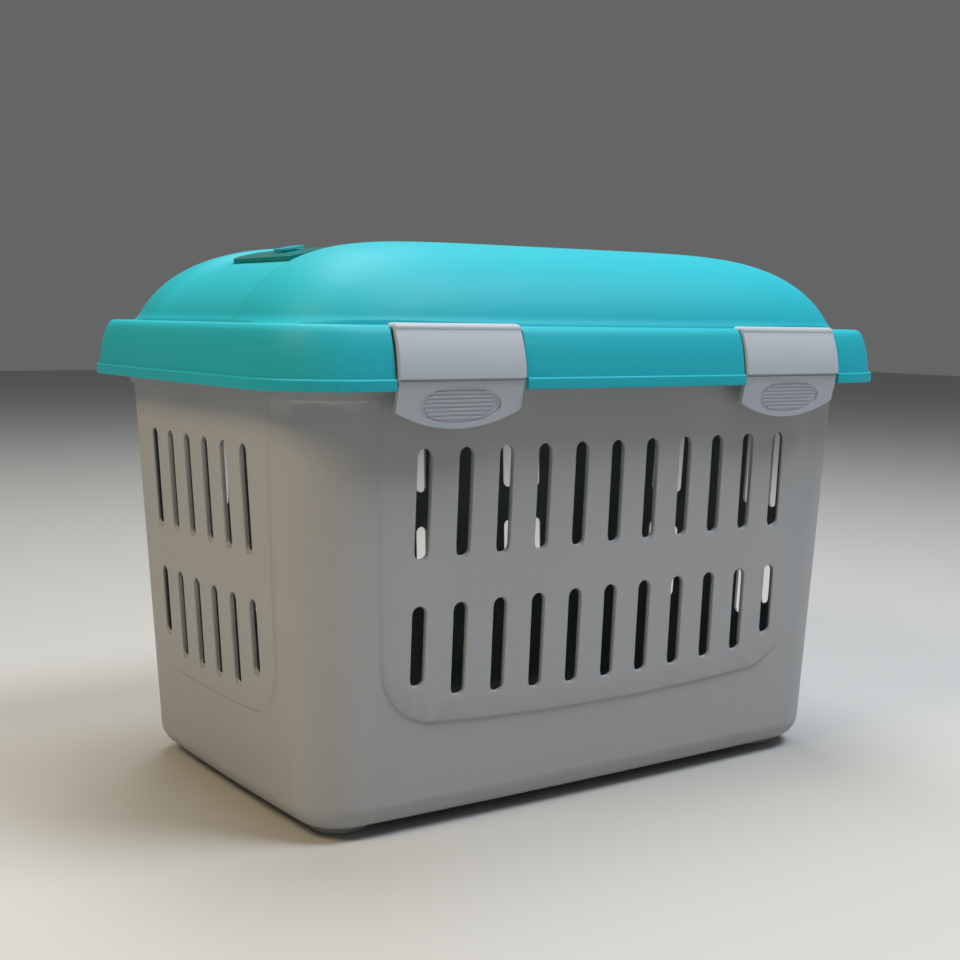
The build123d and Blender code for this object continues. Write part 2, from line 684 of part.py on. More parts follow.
# Hatch
catch_x = -(hatch_outer_x - catch_from_end)
catch_end_x = opening_low_x - catch_tongue_over
slope_low = -(hatch_outer_x - 2)
slope_high = catch_x + catch_length / 2 + catch_travel
catch_slope = atan2(channel_z(slope_high) - channel_z(slope_low), slope_high - slope_low)
hatch_top = part_gap + hatch_thickness
catch_origin = (catch_x, 0, channel_z(catch_x, hatch_top) + catch_play / cos(catch_slope))
catch_plane = Plane(catch_origin, (cos(catch_slope), 0, sin(catch_slope)),
                    (-sin(catch_slope), 0, cos(catch_slope)))


def catch_level(x, z):
    """Height of a point above the catch's sliding plane."""
    return (z - catch_origin[2]) * cos(catch_slope) - (x - catch_origin[0]) * sin(catch_slope)


tongue_top = catch_level(catch_end_x, channel_z(catch_end_x, -wall)) - catch_play
hatch_skin = (dome_form(channel_depth - hatch_top, ledge_under_z)
              - dome_form(channel_depth - part_gap, ledge_under_z))
plug_skin = (dome_form(channel_depth - hatch_top / 2, ledge_under_z)
             - dome_form(channel_depth + hatch_plug_depth, ledge_under_z))
plug_gap = hatch_plug_gap
plug_block = rounded_block(opening_low_x + plug_gap, opening_high_x - plug_gap,
                           opening_half_width - plug_gap, hatch_corner - hatch_overlap - plug_gap,
                           ledge_top_z, dome_top_z + hatch_top)
plug_gap = hatch_plug_gap + hatch_plug_wall
plug_core = rounded_block(opening_low_x + plug_gap, opening_high_x - plug_gap, opening_half_width - plug_gap,
                          hatch_corner - hatch_overlap - hatch_plug_gap, ledge_top_z, dome_top_z + hatch_top)
with BuildPart() as hatch_door:
    add(hatch_skin)
    add(rounded_block(-hatch_outer_x, hatch_inner_x, hatch_half_width, hatch_corner,
                      ledge_top_z, dome_top_z + hatch_top), mode=Mode.INTERSECT)
    add((plug_skin & plug_block) - plug_core)
    arm_z = channel_z(hatch_inner_x, part_gap)
    with BuildSketch(Plane.XZ.offset(-hatch_knuckle)):
        with Locations((hatch_hinge_x, hatch_hinge_z)):
            Circle(hatch_hinge_radius)
        with BuildLine():
            Polyline((hatch_hinge_x, hatch_hinge_z + hatch_hinge_radius),
                     (hatch_inner_x - wall / 2, arm_z + hatch_thickness),
                     (hatch_inner_x - wall / 2, arm_z + hatch_thickness / 5),
                     (hatch_hinge_x, hatch_hinge_z - hatch_hinge_radius), close=True)
        make_face()
        with Locations((hatch_hinge_x, hatch_hinge_z)):
            Circle(hatch_pin_radius + running_gap, mode=Mode.SUBTRACT)
    extrude(amount=2 * hatch_knuckle)
    with BuildSketch(catch_plane.offset(-2 * hatch_top)):
        with Locations((catch_travel / 2, 0)):
            Rectangle(catch_stem_length + catch_travel + 2 * catch_play, catch_stem_width + 2 * catch_play)
    extrude(amount=3 * hatch_top, mode=Mode.SUBTRACT)
hatch_door.part.label = "hatch_door"
export_step(hatch_door.part, "parts/hatch_door.step")

with BuildPart() as hatch_pin:
    with BuildSketch(Plane((hatch_hinge_x, 0, hatch_hinge_z), (1, 0, 0), (0, 1, 0))):
        Circle(hatch_pin_radius)
    extrude(amount=hatch_knuckle + hatch_knuckle_gap + hatch_post, both=True)
hatch_pin.part.label = "hatch_pin"
export_step(hatch_pin.part, "parts/hatch_pin.step")

with BuildPart() as hatch_catch:
    with BuildSketch(catch_plane):
        RectangleRounded(catch_length, catch_width, catch_length / 5)
    extrude(amount=catch_height)
    rib_count = int(catch_length / 2 / catch_rib_pitch - 0.5)
    with BuildSketch(catch_plane.offset(catch_height)):
        for i in range(-rib_count, rib_count + 1):
            with Locations((i * catch_rib_pitch, 0)):
                Rectangle(catch_rib_pitch / 2.5, 2 * catch_width)
    extrude(amount=-catch_rib_depth, mode=Mode.SUBTRACT)
    with BuildSketch(catch_plane.offset(tongue_top)):
        Rectangle(catch_stem_length, catch_stem_width)
    extrude(amount=catch_height / 2 - tongue_top)
    tongue_reach = (catch_x - catch_end_x) / cos(catch_slope)
    with BuildSketch(catch_plane.offset(tongue_top - catch_tongue_thickness)):
        with Locations(((catch_stem_length / 2 - tongue_reach) / 2, 0)):
            Rectangle(tongue_reach + catch_stem_length / 2, 1.5 * catch_stem_width)
    extrude(amount=catch_tongue_thickness)
hatch_catch.part.label = "hatch_catch"
export_step(hatch_catch.part, "parts/hatch_catch.step")

# Folding carry handle
grip_far = handle_reach + handle_grip_width / 2
grip_near = handle_reach - handle_grip_width / 2
with BuildPart() as carry_handle:
    with BuildSketch(Plane.XY.offset(handle_pivot_z - 2 * handle_leg_radius)) as frame:
        with Locations((0, (grip_far - handle_leg_radius) / 2)):
            Rectangle(2 * handle_half_length, grip_far + handle_leg_radius)
        fillet(frame.vertices().group_by(Axis.Y)[-1], handle_outer_corner)
        with Locations((0, grip_near - handle_reach)):
            RectangleRounded(2 * (handle_half_length - handle_leg_width), 2 * handle_reach,
                             handle_inner_corner, mode=Mode.SUBTRACT)
    extrude(amount=4 * handle_leg_radius + handle_grip_radius)
    with BuildSketch(Plane.YZ.offset(-handle_half_length)):
        with Locations((0, handle_pivot_z)):
            Circle(handle_leg_radius)
        with Locations((grip_far - handle_grip_radius, handle_grip_z)):
            Circle(handle_grip_radius)
        make_hull()
    extrude(amount=2 * handle_half_length, mode=Mode.INTERSECT)
    for side in (-1, 1):
        with BuildSketch(Plane.YZ.offset(side * handle_leg_x)):
            with Locations((0, handle_pivot_z)):
                Circle(handle_pin_radius + running_gap)
        extrude(amount=handle_leg_width, both=True, mode=Mode.SUBTRACT)
carry_handle.part.label = "carry_handle"
export_step(carry_handle.part, "parts/carry_handle.step")

for name, side in (("handle_pin_left", -1), ("handle_pin_right", 1)):
    inner_x = handle_post_x - handle_post_width / 2
    with BuildPart() as pin:
        with BuildSketch(Plane((side * inner_x, 0, handle_pivot_z), (0, 1, 0), (side, 0, 0))):
            Circle(handle_pin_radius)
        extrude(amount=handle_half_length - inner_x)
        chamfer(pin.edges(), handle_pin_radius / 5)
    pin.part.label = name
    export_step(pin.part, f"parts/{name}.step")
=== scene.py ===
"""Guinea pig carrier: the looks of a moulded pet carrier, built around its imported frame.

A slotted grey tub on four round feet carries a turquoise dome lid that hinges at the
rear. Two grey latches hold its front, a tinted hatch with a sliding catch lies in the
channel along its top, and a carry handle folds down beside the hatch.

Metres. Z is up, X runs the long way and the latches face -Y.
"""

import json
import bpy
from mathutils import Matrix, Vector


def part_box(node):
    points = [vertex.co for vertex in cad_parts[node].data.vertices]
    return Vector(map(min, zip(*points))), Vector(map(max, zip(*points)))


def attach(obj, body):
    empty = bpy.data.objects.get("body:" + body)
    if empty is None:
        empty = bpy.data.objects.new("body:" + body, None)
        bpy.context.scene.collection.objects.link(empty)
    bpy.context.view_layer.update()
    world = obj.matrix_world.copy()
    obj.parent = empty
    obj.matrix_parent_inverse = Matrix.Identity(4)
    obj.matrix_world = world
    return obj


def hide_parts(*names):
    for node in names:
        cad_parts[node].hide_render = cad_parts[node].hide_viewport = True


bl_info = {
    "name": "Guinea Pig Carrier",
    "version": (1, 0, 0),
    "blender": (4, 5, 0),
    "location": "3D View > Sidebar > Carrier",
    "description": "Builds a moulded carrier for a small pet, piece by piece",
    "category": "Add Mesh",
}

from math import cos, pi, radians, sin, tan

import bmesh
import bpy
import numpy as np
from bpy.props import FloatProperty, FloatVectorProperty, IntProperty, PointerProperty
from mathutils import Matrix, Vector

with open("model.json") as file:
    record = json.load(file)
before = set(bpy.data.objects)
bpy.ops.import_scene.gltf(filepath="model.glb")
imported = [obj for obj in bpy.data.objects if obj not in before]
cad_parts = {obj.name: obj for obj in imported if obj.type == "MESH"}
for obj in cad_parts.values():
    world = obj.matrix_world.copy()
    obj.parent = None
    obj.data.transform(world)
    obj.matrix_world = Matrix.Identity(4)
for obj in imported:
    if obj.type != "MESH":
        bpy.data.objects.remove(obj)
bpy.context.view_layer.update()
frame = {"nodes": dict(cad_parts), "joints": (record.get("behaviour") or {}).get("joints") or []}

MM = 0.001
JOINTS = {joint["name"]: joint for joint in frame["joints"]}
LID_LOW, LID_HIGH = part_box("lid_shell")
SIDES = {"left": -1, "right": 1}

# Sizes that the frame's solids fix, and that the pieces made here have to match
HATCH_OVERLAP = 4.0 * MM
HATCH_HINGE_OUT = 5.0 * MM
HATCH_OPENING_CORNER = 5.0 * MM
HATCH_BARREL_RADIUS = 2.8 * MM
HATCH_BARREL_ROOM = 3.1 * MM
HATCH_BARREL_START = 12.5 * MM
HATCH_BARREL_END = 20.5 * MM
HATCH_BARREL_FOOT = 3.0 * MM
HINGE_BARREL_RADIUS = 3.6 * MM
HINGE_BARREL_HALF_LENGTH = 6 * MM
HINGE_WEB_INSET = 1.2 * MM
HINGE_WEB_UNDER_BAND = 0.6 * MM
HANDLE_POST_WIDTH = 5 * MM
HANDLE_POST_RADIUS = 2.9 * MM
HANDLE_POST_FOOT = 4.0 * MM
LATCH_PLATE_BACK = 5.4 * MM
LATCH_PLATE_THICKNESS = 3.0 * MM
LATCH_LIP_REACH = 8.2 * MM
LATCH_TAB_OUT = 1.5 * MM
LATCH_SHADOW_GAP = 1.4 * MM
LATCH_TAB_LEAN = radians(12.5)
NOTCH_INNER_Y = -133.6 * MM
LEDGE_INNER_INSET = 12.5 * MM
FOOT_START_INSET = 13 * MM


def joint_place(name):
    """Where a joint's axis passes, as the frame has it."""
    return Vector(JOINTS[name]["pos_m"])


# Sizes and colours that a user would change


def length(label, millimetres, description):
    """A length property, given in millimetres."""
    return FloatProperty(name=label, description=description, default=millimetres * MM,
                         min=0.0, unit="LENGTH", precision=4)


def number(label, value, description):
    """A plain number property."""
    return FloatProperty(name=label, description=description, default=value, min=0.0)


def colour(label, red, green, blue, description):
    """A colour property, in linear light."""
    return FloatVectorProperty(name=label, description=description, subtype="COLOR", size=3,
                               min=0.0, max=1.0, default=(red, green, blue))


class CarrierSizes(bpy.types.PropertyGroup):
    """Sizes of the forms that are made here rather than carried over"""

    wall: length("Wall", 2.6, "Thickness of the lid's wall")
    ledge_top: length("Ledge Height", 269.5, "Top of the ledge round the dome, over the ground")
    ledge_thickness: length("Ledge Thickness", 3.2, "Thickness of the ledge")
    dome_half_length: length("Dome Half Length", 201.0, "Half the dome's length at its foot")
    dome_half_width: length("Dome Half Width", 130.7, "Half the dome's width at its foot")
    dome_rise: length("Dome Rise", 46.3, "Top of the dome over the ledge")
    dome_length_power: number("Length Power", 6.1, "How square the dome is along its length")
    dome_width_power: number("Width Power", 5.35, "How square the dome is across its width")
    dome_plan_power: number("Plan Power", 5.7, "How square the dome's outline is")
    dome_roundness: number("Roundness", 1.32, "How softly the dome turns over at its shoulder")
    dome_flare: length("Foot Flare", 2.0, "How far the dome's foot spreads")
    dome_flare_height: length("Flare Height", 5.0, "Height over which the foot spreads")
    dome_cells: IntProperty(name="Dome Rows", default=201, min=21, max=401,
                            description="Rows and columns of points over the dome")
    channel_depth: length("Channel Depth", 4.0, "Depth of the channel along the lid's top")
    channel_floor: length("Channel Floor", 44.0, "Half the width of the channel's flat floor")
    channel_slope: length("Channel Slope", 15.0, "Width of each sloped side of the channel")
    lid_corner: length("Lid Corner", 48.0, "Radius of the lid's corners at its lower band")
    side_bow: length("Side Bow", 2.7, "How far each side swells at its middle")
    band_bottom: length("Band Bottom", 237.3, "Lower edge of the lid, over the ground")
    band_top: length("Band Top", 243.4, "Step between the lid's band and its skirt")
    latch_gap: length("Latch Gap", 1.6, "Air at each side of a latch")
    edge_radius: length("Edge Radius", 0.35, "Rounding of the small mouldings' edges")
    rib_pitch: length("Rib Pitch", 2.2, "Distance between the ribs of a thumb grip")
    rib_radius: length("Rib Radius", 0.66, "Half the width of one rib")
    dish_half_width: length("Dish Half Width", 25.0, "Half the width of a latch's thumb dish")
    dish_half_height: length("Dish Half Height", 9.6, "Half the height of a latch's thumb dish")
    dish_depth: length("Dish Depth", 0.9, "Depth of a latch's thumb dish")


class CarrierColours(bpy.types.PropertyGroup):
    """Colours of the carrier and of its floor"""

    tub: colour("Tub", 0.385, 0.388, 0.400, "Grey of the tub")
    lid: colour("Lid", 0.005, 0.405, 0.500, "Turquoise of the lid, the catch and the handle")
    latch: colour("Latches", 0.450, 0.490, 0.550, "Cool grey of the latches")
    hatch: colour("Hatch", 0.0, 0.280, 0.280, "Tint of the clear hatch")
    steel: colour("Steel", 0.55, 0.56, 0.57, "Wire of the pins")
    floor: colour("Floor", 0.52, 0.52, 0.51, "Pale floor")


# Node trees, written as expressions


def put(tree, socket, value):
    """Sets a socket to a number, or links it to another one."""
    if isinstance(value, Value):
        tree.links.new(value.socket, socket)
    elif isinstance(value, bpy.types.NodeSocket):
        tree.links.new(value, socket)
    else:
        socket.default_value = value


class Value:
    """A number carried by a socket, which takes part in plain arithmetic."""

    def __init__(self, tree, socket):
        self.tree = tree
        self.socket = socket

    def math(self, operation, *terms):
        node = self.tree.nodes.new("ShaderNodeMath")
        node.operation = operation
        for socket, term in zip(node.inputs, terms):
            put(self.tree, socket, term)
        return Value(self.tree, node.outputs[0])

    def __add__(self, other):
        return self.math("ADD", self, other)

    def __radd__(self, other):
        return self.math("ADD", other, self)

    def __sub__(self, other):
        return self.math("SUBTRACT", self, other)

    def __rsub__(self, other):
        return self.math("SUBTRACT", other, self)

    def __mul__(self, other):
        return self.math("MULTIPLY", self, other)

    def __rmul__(self, other):
        return self.math("MULTIPLY", other, self)

    def __truediv__(self, other):
        return self.math("DIVIDE", self, other)

    def __rtruediv__(self, other):
        return self.math("DIVIDE", other, self)

    def __pow__(self, other):
        return self.math("POWER", self, other)

    def __abs__(self):
        return self.math("ABSOLUTE", self)

    def __gt__(self, other):
        return self.math("GREATER_THAN", self, other)

    def sign(self):
        return self.math("SIGN", self)

    def exponential(self):
        return self.math("EXPONENT", self)

    def at_least(self, other):
        return self.math("MAXIMUM", self, other)

    def snapped(self, step):
        return self.math("SNAP", self + step / 2, step)


class Tree:
    """Adds nodes to one tree: one method for any of them."""

    def __init__(self, tree):
        self.tree = tree

    def node(self, kind, settings=None, values=None):
        made = self.tree.nodes.new(kind)
        for name, setting in (settings or {}).items():
            if name == "stops":
                ramp = made.color_ramp
                while len(ramp.elements) < len(setting):
                    ramp.elements.new(0.5)
                for element, (place, shade) in zip(ramp.elements, setting):
                    element.position = place
                    element.color = shade
            else:
                setattr(made, name, setting)
        for name, value in (values or {}).items():
            put(self.tree, made.inputs[name], value)
        return made

    def value(self, kind, settings=None, values=None, output=0):
        return Value(self.tree, self.node(kind, settings, values).outputs[output])

    def mixed(self, factor, first, second, blend="MIX"):
        """A colour between two others."""
        node = self.node("ShaderNodeMix", {"data_type": "RGBA", "blend_type": blend},
                         {0: factor, 6: first, 7: second})
        return node.outputs[2]


def moulding_tree(name, inputs):
    """A geometry tree with named inputs, and the values of those inputs."""
    tree = bpy.data.node_groups.new(name, "GeometryNodeTree")
    tree.interface.new_socket("Geometry", in_out="OUTPUT", socket_type="NodeSocketGeometry")
    for label, kind in inputs.items():
        tree.interface.new_socket(label, in_out="INPUT", socket_type="NodeSocket" + kind)
    source = tree.nodes.new("NodeGroupInput")
    return Tree(tree), {label: Value(tree, source.outputs[label]) for label in inputs}


def finish_tree(build, geometry, material):
    """Ends a geometry tree: real geometry, in one material."""
    real = build.node("GeometryNodeRealizeInstances", None, {"Geometry": geometry})
    painted = build.node("GeometryNodeSetMaterial", None,
                         {"Geometry": real.outputs[0], "Material": material})
    output = build.tree.nodes.new("NodeGroupOutput")
    build.tree.links.new(painted.outputs[0], output.inputs[0])
    return build.tree


def run_tree(tree, name, inputs):
    """The plain mesh that a geometry tree makes from these inputs."""
    carrier = bpy.data.objects.new(name, bpy.data.meshes.new(name))
    bpy.context.scene.collection.objects.link(carrier)
    modifier = carrier.modifiers.new("Build", "NODES")
    modifier.node_group = tree
    for item in tree.interface.items_tree:
        if item.in_out == "INPUT":
            modifier[item.identifier] = inputs[item.name]
    mesh = evaluated_mesh(carrier)
    bpy.data.objects.remove(carrier)
    mesh.name = name
    return mesh


# Materials


def surface(name):
    """A new material, its tree and its Principled shader."""
    material = bpy.data.materials.new(name)
    material.use_nodes = True
    material.node_tree.nodes.clear()
    build = Tree(material.node_tree)
    shader = build.node("ShaderNodeBsdfPrincipled")
    output = build.node("ShaderNodeOutputMaterial")
    material.node_tree.links.new(shader.outputs[0], output.inputs["Surface"])
    return material, build, shader


def noise(build, place, scale, detail=2.0, roughness=0.5):
    """Plain noise from 0 to 1, with features of about 1 / scale metres."""
    return build.value("ShaderNodeTexNoise", None,
                       {"Vector": place, "Scale": scale, "Detail": detail, "Roughness": roughness})


def hairlines(build, place, turn, stretch, scale, amount):
    """Fine straight scuffs: 1 on a line and 0 elsewhere."""
    turned = build.node("ShaderNodeMapping", None,
                        {"Vector": place, "Rotation": turn, "Scale": stretch})
    lines = noise(build, turned.outputs[0], scale, 1.0)
    patches = noise(build, place, 14.0)
    mask = build.value("ShaderNodeMapRange", {"interpolation_type": "SMOOTHSTEP"},
                       {"Value": lines, "From Min": 0.74 - amount, "From Max": 0.80 - amount})
    worn = build.value("ShaderNodeMapRange", {"interpolation_type": "SMOOTHSTEP"},
                       {"Value": patches, "From Min": 0.50, "From Max": 0.66})
    return mask * worn


def moulded_plastic(name, base, gloss, grain_scale, grain_depth, swell_depth, scuffs,
                    mottling=0.05, shine=0.3, glow=0.0):
    """Injection-moulded plastic: spark grain, flow mottling, slow swell and light scuffs.

    gloss is the roughness, grain_scale is in features a metre, and the depths are in metres.
    """
    material, build, shader = surface(name)
    place = build.node("ShaderNodeTexCoord").outputs["Object"]
    broad = noise(build, place, 7.0, 3.0)
    cloudy = noise(build, place, 46.0, 4.0, 0.6)
    grain = noise(build, place, grain_scale, 3.0, 0.65)
    swell = noise(build, place, 22.0, 1.0)
    lines = hairlines(build, place, (0.5, 0.2, 0.9), (1.0, 0.035, 1.0), 900.0, scuffs)
    more_lines = hairlines(build, place, (0.1, 1.1, 2.2), (0.04, 1.0, 1.0), 750.0, scuffs)
    scuffed = (lines + more_lines).at_least(0.0)

    dark = [c * (1 - mottling) for c in base] + [1.0]
    light = [min(1.0, c * (1 + mottling) + 0.004) for c in base] + [1.0]
    pale = [c + (0.9 - c) * 0.22 for c in base] + [1.0]
    tone = build.mixed(broad * 0.55 + cloudy * 0.45, dark, light)
    speck = build.mixed(grain * 0.10, tone, pale)
    put(build.tree, shader.inputs["Base Color"], build.mixed(scuffed * 0.25, speck, pale))
    put(build.tree, shader.inputs["Roughness"],
        gloss + (cloudy - 0.5) * 0.10 + (broad - 0.5) * 0.06 + scuffed * 0.10)

    height = grain * grain_depth + swell * swell_depth - scuffed * (3e-6)
    bump = build.node("ShaderNodeBump", None, {"Strength": 1.0, "Distance": 1.0, "Height": height})
    put(build.tree, shader.inputs["Normal"], bump.outputs[0])
    shader.inputs["IOR"].default_value = 1.49
    shader.inputs["Specular IOR Level"].default_value = shine
    shader.inputs["Subsurface Weight"].default_value = glow
    shader.inputs["Subsurface Radius"].default_value = (0.003, 0.006, 0.006)
    return material


def tinted_clear(name, base):
    """Clear tinted plastic with a faint waviness, smudges and hairlines."""
    material, build, shader = surface(name)
    place = build.node("ShaderNodeTexCoord").outputs["Object"]
    smudge = noise(build, place, 38.0, 4.0, 0.6)
    wave = noise(build, place, 30.0, 1.0)
    broad = noise(build, place, 9.0, 2.0)
    lines = hairlines(build, place, (0.0, 0.0, 0.5), (1.0, 0.03, 1.0), 800.0, 0.03)
    deep = [c * 0.8 for c in base] + [1.0]
    clear = [min(1.0, c * 1.2 + 0.004) for c in base] + [1.0]
    put(build.tree, shader.inputs["Base Color"], build.mixed(broad, deep, clear))
    put(build.tree, shader.inputs["Roughness"], 0.12 + smudge * 0.10 + lines * 0.2)
    bump = build.node("ShaderNodeBump", None,
                      {"Strength": 1.0, "Distance": 1.0, "Height": wave * 2.5e-5 - lines * 2e-6})
    put(build.tree, shader.inputs["Normal"], bump.outputs[0])
    shader.inputs["IOR"].default_value = 1.49
    shader.inputs["Specular IOR Level"].default_value = 0.2
    shader.inputs["Transmission Weight"].default_value = 0.3
    return material


def drawn_steel(name, base):
    """Drawn steel wire: fine lines along the pin and a little tarnish."""
    material, build, shader = surface(name)
    place = build.node("ShaderNodeTexCoord").outputs["Object"]
    drawn = build.node("ShaderNodeMapping", None, {"Vector": place, "Scale": (0.02, 1.0, 1.0)})
    lines = noise(build, drawn.outputs[0], 9000.0, 2.0)
    tarnish = noise(build, place, 160.0, 3.0)
    dull = [c * 0.62 for c in base] + [1.0]
    put(build.tree, shader.inputs["Base Color"],
        build.mixed(tarnish * 0.7, list(base) + [1.0], dull))
    put(build.tree, shader.inputs["Roughness"], 0.22 + lines * 0.15 + tarnish * 0.1)
    bump = build.node("ShaderNodeBump", None,
                      {"Strength": 0.6, "Distance": 1.0, "Height": lines * 2e-6})
    put(build.tree, shader.inputs["Normal"], bump.outputs[0])
    shader.inputs["Metallic"].default_value = 1.0
    return material


def pale_floor(name, base):
    """Matt pale studio floor."""
    material, build, shader = surface(name)
    place = build.node("ShaderNodeTexCoord").outputs["Object"]
    shade = noise(build, place, 3.0, 2.0)
    dim = [c * 0.98 for c in base] + [1.0]
    put(build.tree, shader.inputs["Base Color"], build.mixed(shade, dim, list(base) + [1.0]))
    shader.inputs["Roughness"].default_value = 0.75
    return material


def finish_of(kind):
    """The finish of one of the carrier's plastics or metals, made once.

    The frame has plain materials under the slots' own names, so a finish has a name of its own.
    """
    name = kind + "_finish"
    known = bpy.data.materials.get(name)
    if known:
        return known
    colours = bpy.context.scene.carrier_colours
    if kind == "tub_plastic":
        return moulded_plastic(name, colours.tub, 0.46, 2600.0, 2.2e-5, 8e-5, 0.05, mottling=0.03)
    if kind == "lid_plastic":
        return moulded_plastic(name, colours.lid, 0.52, 3200.0, 8e-6, 4e-5, 0.05,
                               shine=0.25, glow=0.2)
    if kind == "latch_plastic":
        return moulded_plastic(name, colours.latch, 0.36, 3000.0, 8e-6, 3e-5, 0.06, mottling=0.03)
    if kind == "hatch_tint":
        return tinted_clear(name, colours.hatch)
    if kind == "pin_steel":
        return drawn_steel(name, colours.steel)
    raise RuntimeError("no finish is called " + kind)


# Meshes


def evaluated_mesh(thing):
    """A plain mesh of an object with its modifiers applied."""
    bpy.context.view_layer.update()
    graph = bpy.context.evaluated_depsgraph_get()
    return bpy.data.meshes.new_from_object(thing.evaluated_get(graph))


def add_piece(name, mesh, body, finish, crease=35.0, stands_for=()):
    """Puts a finished mesh in the scene, smooth up to its creases, on its body.

    Large faces keep their own direction, and the small ones at their edges turn between them.
    """
    mesh.shade_smooth()
    mesh.set_sharp_from_angle(angle=radians(crease))
    mesh = reshaped(mesh, ("WEIGHTED_NORMAL", {"mode": "FACE_AREA", "keep_sharp": True}))
    mesh.name = name
    mesh.materials.clear()
    mesh.materials.append(finish_of(finish))
    for face in mesh.polygons:
        face.material_index = 0
    piece = bpy.data.objects.new(name, mesh)
    bpy.context.scene.collection.objects.link(piece)
    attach(piece, body)
    if stands_for:
        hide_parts(*stands_for)
    return piece


def reshaped(mesh, *modifiers):
    """The mesh after these modifiers, each a kind and its settings."""
    blank = bpy.data.objects.new("blank", mesh)
    bpy.context.scene.collection.objects.link(blank)
    for kind, settings in modifiers:
        modifier = blank.modifiers.new(kind.title(), kind)
        for setting, value in settings.items():
            setattr(modifier, setting, value)
    made = evaluated_mesh(blank)
    bpy.data.objects.remove(blank)
    return made


def cut_by(mesh, cutters):
    """The mesh less each of the closed meshes given."""
    for cutter in cutters:
        tool = bpy.data.objects.new("cutter", cutter)
        bpy.context.scene.collection.objects.link(tool)
        mesh = reshaped(mesh, ("BOOLEAN", {"operation": "DIFFERENCE", "solver": "EXACT",
                                           "object": tool}))
        bpy.data.objects.remove(tool)
    return mesh


def mesh_of(name, points, faces):
    """A mesh from points and faces, with its faces turned outwards."""
    mesh = bpy.data.meshes.new(name)
    mesh.from_pydata([tuple(p) for p in points], [], faces)
    shape = bmesh.new()
    shape.from_mesh(mesh)
    bmesh.ops.remove_doubles(shape, verts=shape.verts, dist=1e-7)
    bmesh.ops.recalc_face_normals(shape, faces=shape.faces)
    shape.to_mesh(mesh)
    shape.free()
    return mesh


def prism(name, outline, axis, low, high):
    """A closed prism: a 2D outline drawn across an axis, between two places along it."""
    across = {"x": (1, 2), "y": (0, 2), "z": (0, 1)}[axis]
    along = "xyz".index(axis)
    points = []
    for level in (low, high):
        for pair in outline:
            point = [0.0, 0.0, 0.0]
            point[along] = level
            point[across[0]], point[across[1]] = pair
            points.append(point)
    count = len(outline)
    faces = [list(range(count)), list(range(count, 2 * count))]
    for i in range(count):
        j = (i + 1) % count
        faces.append([i, j, count + j, count + i])
    return mesh_of(name, points, faces)


def rounded_rectangle(low, high, radius, steps=8):
    """Outline of a rectangle between two 2D corners, with round corners."""
    outline = []
    corners = ((high[0] - radius, high[1] - radius, 0), (low[0] + radius, high[1] - radius, 1),
               (low[0] + radius, low[1] + radius, 2), (high[0] - radius, low[1] + radius, 3))
    for x, y, quarter in corners:
        for i in range(steps + 1):
            turn = (quarter + i / steps) * pi / 2
            outline.append((x + radius * cos(turn), y + radius * sin(turn)))
    return outline


def block(low, high):
    """A plain closed block between two corners, used as a cutter."""
    outline = [(low[0], low[1]), (high[0], low[1]), (high[0], high[1]), (low[0], high[1])]
    return prism("block", outline, "z", low[2], high[2])


def joined(name, meshes):
    """One mesh that holds all the meshes given."""
    shape = bmesh.new()
    for mesh in meshes:
        shape.from_mesh(mesh)
    whole = bpy.data.meshes.new(name)
    shape.to_mesh(whole)
    shape.free()
    return whole


def carried_over(node, edge_radius=0.0, crease=35.0):
    """A merged copy of a frame node's mesh, with its sharp edges rounded."""
    shape = bmesh.new()
    shape.from_mesh(frame["nodes"][node].data)
    bmesh.ops.remove_doubles(shape, verts=shape.verts, dist=1e-6)
    mesh = bpy.data.meshes.new(node + "_copy")
    shape.to_mesh(mesh)
    shape.free()
    if edge_radius:
        mesh = reshaped(mesh, ("BEVEL", {"width": edge_radius, "segments": 2,
                                         "limit_method": "ANGLE", "angle_limit": radians(crease),
                                         "harden_normals": False}))
    return mesh


# The lid's dome, which follows one formula


